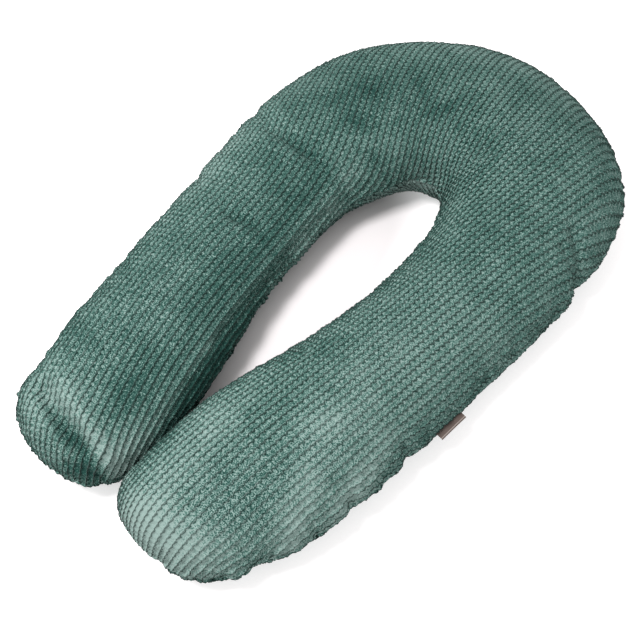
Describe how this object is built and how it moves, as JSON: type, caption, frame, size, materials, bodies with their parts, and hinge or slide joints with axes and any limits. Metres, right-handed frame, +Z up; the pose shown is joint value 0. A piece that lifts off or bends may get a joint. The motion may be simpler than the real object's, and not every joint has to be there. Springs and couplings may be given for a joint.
{
  "type": "body pillow",
  "caption": "U-shaped body pillow: a filled cushion of ribbed plush, sewn round its edge, with legs that lie side by side at their tips and a small folded side tab.",
  "frame": {"origin": "centre of the bounding box at the ground", "axes": "+Y along the U, from the two leg tips towards the crown; +Z up from the ground it lies on; the tab is on the +X leg"},
  "size_m": [0.831, 1.3866, 0.2325],
  "materials": {
    "ribbed_plush": "ribbed plush pile",
    "woven_tape": "plain woven tape"
  },
  "bodies": {
    "root": {"pillow": "ribbed_plush", "label": "woven_tape"}
  },
  "joints": []
}
